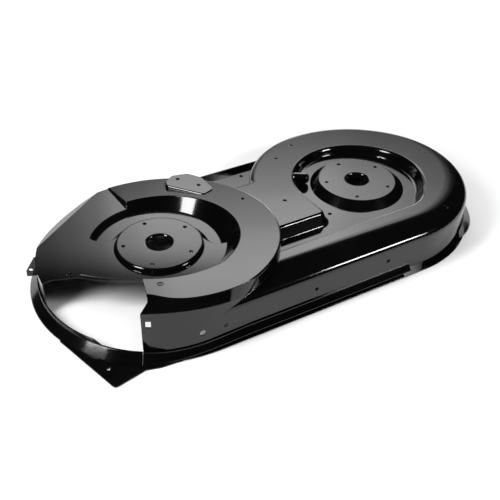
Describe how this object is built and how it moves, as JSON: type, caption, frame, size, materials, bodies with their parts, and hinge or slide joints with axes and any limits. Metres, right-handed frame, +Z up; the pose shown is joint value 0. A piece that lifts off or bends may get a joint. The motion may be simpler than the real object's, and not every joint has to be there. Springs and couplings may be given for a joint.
{
  "type": "lawn mower deck",
  "caption": "Pressed steel cutting deck shell for a lawn tractor, gloss black, with paired blade domes, bolt-on spindle seats and a side discharge opening.",
  "frame": {"origin": "mid-point between the two spindle axes, on the plane of the bottom edge, which is also the centre of the bounding box in plan", "axes": "+X from the discharge spindle to the other spindle, +Y to the rear, +Z up along the spindles"},
  "size_m": [1.1203, 0.5611, 0.1313],
  "materials": {
    "black_paint": "gloss"
  },
  "bodies": {
    "root": {"deck_shell": "black_paint", "front_strap": "black_paint", "discharge_hoop": "black_paint", "end_band": "black_paint", "corner_plate": "black_paint", "chute_bracket": "black_paint"}
  },
  "joints": []
}
